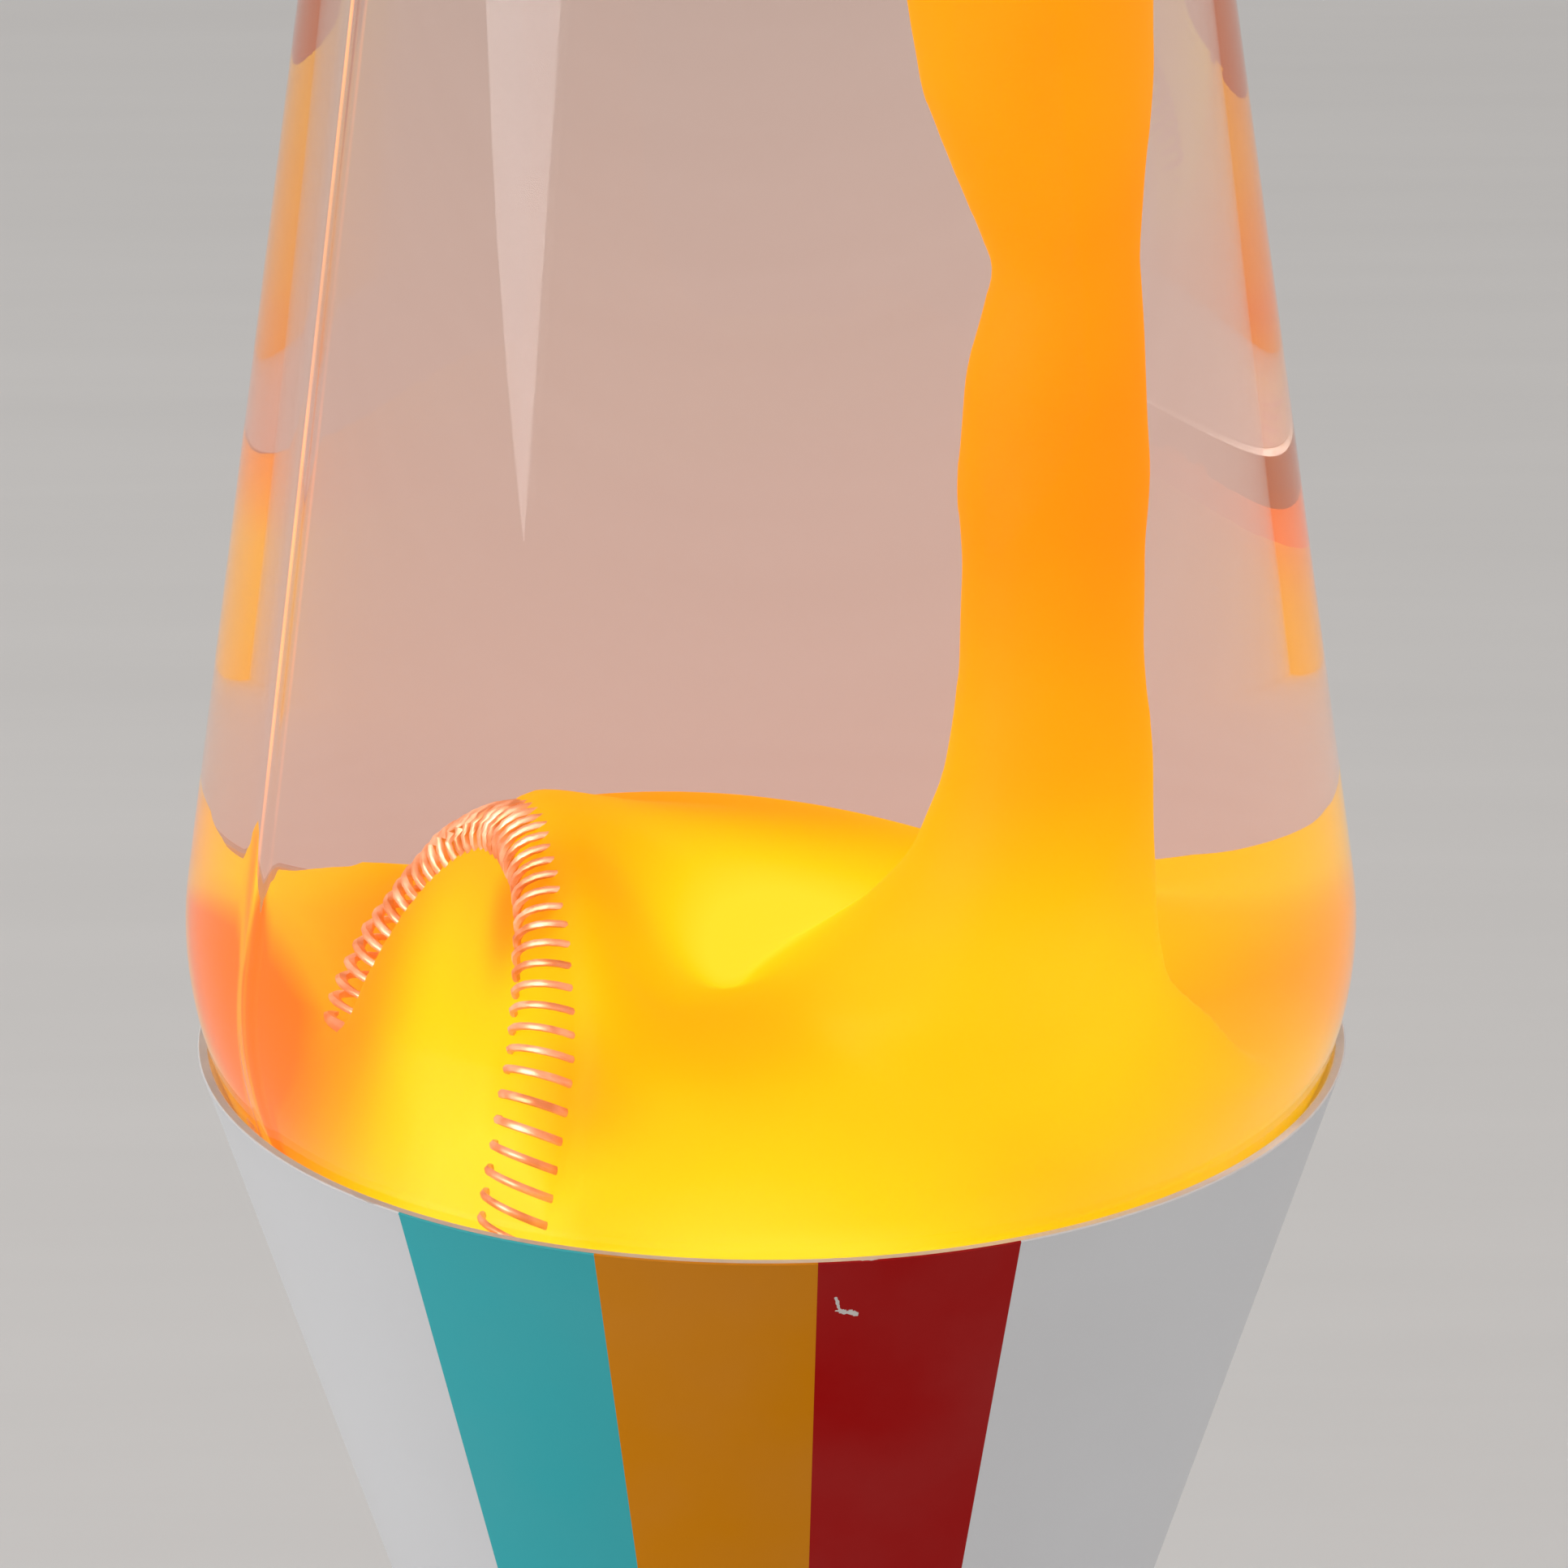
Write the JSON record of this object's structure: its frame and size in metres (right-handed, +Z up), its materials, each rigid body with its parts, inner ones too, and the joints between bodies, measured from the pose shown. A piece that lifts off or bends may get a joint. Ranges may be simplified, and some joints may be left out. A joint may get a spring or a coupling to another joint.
{
  "type": "lava lamp",
  "caption": "Lava lamp: tapered glass bottle of clear liquid and molten wax on an hourglass metal base with painted stripes, with a bulb inside and a conical cap.",
  "frame": {"origin": "middle of the underside of the foot ring, on the surface the lamp stands on", "axes": "+Z up along the lamp's axis, -Y towards the striped front, +X to the right seen from the front"},
  "size_m": [0.1134, 0.1134, 0.43],
  "materials": {
    "cone_paint": "satin",
    "zinc_steel": "satin",
    "black_rubber": "matte",
    "rivet_aluminium": "satin",
    "plain_brass": "satin",
    "holder_plastic": "matte",
    "bulb_glass": "frosted",
    "stem_glass": "gloss",
    "hot_filament": "matte",
    "insulator_glass": "gloss",
    "solder": "satin",
    "bottle_glass": "gloss",
    "clear_liquid": "gloss",
    "glowing_wax": "gloss",
    "coil_steel": "satin",
    "tinplate": "satin",
    "liner_plastic": "matte",
    "cap_paint": "satin"
  },
  "bodies": {
    "base": {"lower_cone": "cone_paint", "upper_cone": "cone_paint", "base_plate": "zinc_steel", "base_plate_screws": "zinc_steel", "foot_ring": "black_rubber", "cord_grommet": "black_rubber", "lamp_bracket": "zinc_steel", "bracket_rivets": "rivet_aluminium", "socket_nipple": "plain_brass", "socket_nut": "plain_brass", "socket_body": "holder_plastic", "socket_shell": "plain_brass", "socket_contact": "plain_brass", "terminal_screws": "zinc_steel"},
    "bulb_climber": {"bulb_insulator": "insulator_glass", "bulb_tip": "solder"},
    "bulb": {"bulb_glass": "bulb_glass", "bulb_stem": "stem_glass", "bulb_filament": "hot_filament", "bulb_cap": "plain_brass"},
    "globe": {"globe_glass": "bottle_glass", "globe_liquid": "clear_liquid", "wax_mass": "glowing_wax", "coil_ring": "coil_steel", "crown_cap": "tinplate", "crown_liner": "liner_plastic"},
    "drifting_wax": {"wax_blob": "glowing_wax"},
    "cap": {"top_cap": "cap_paint"}
  },
  "joints": [
    {"name": "globe_lift", "type": "slide", "parent": "base", "child": "globe", "axis": [0, 0, 1], "range_m": [0, 0.12]},
    {"name": "cap_lift", "type": "slide", "parent": "globe", "child": "cap", "axis": [0, 0, 1], "range_m": [0, 0.08]},
    {"name": "bulb_climb", "type": "slide", "parent": "base", "child": "bulb_climber", "axis": [0, 0, 1], "range_m": [0, 0.0113]},
    {"name": "bulb_turn", "type": "hinge", "parent": "bulb_climber", "child": "bulb", "pos_m": [0, 0, 0.06], "axis": [0, 0, 1], "range_deg": [0, 1440]},
    {"name": "wax_drift", "type": "slide", "parent": "globe", "child": "drifting_wax", "axis": [0, 0, 1], "range_m": [-0.08, 0], "deforming": ["globe_liquid"]}
  ],
  "couplings": [
    {"joint": "bulb_climb", "follows": "bulb_turn", "m_per_rad": 0.000449}
  ]
}
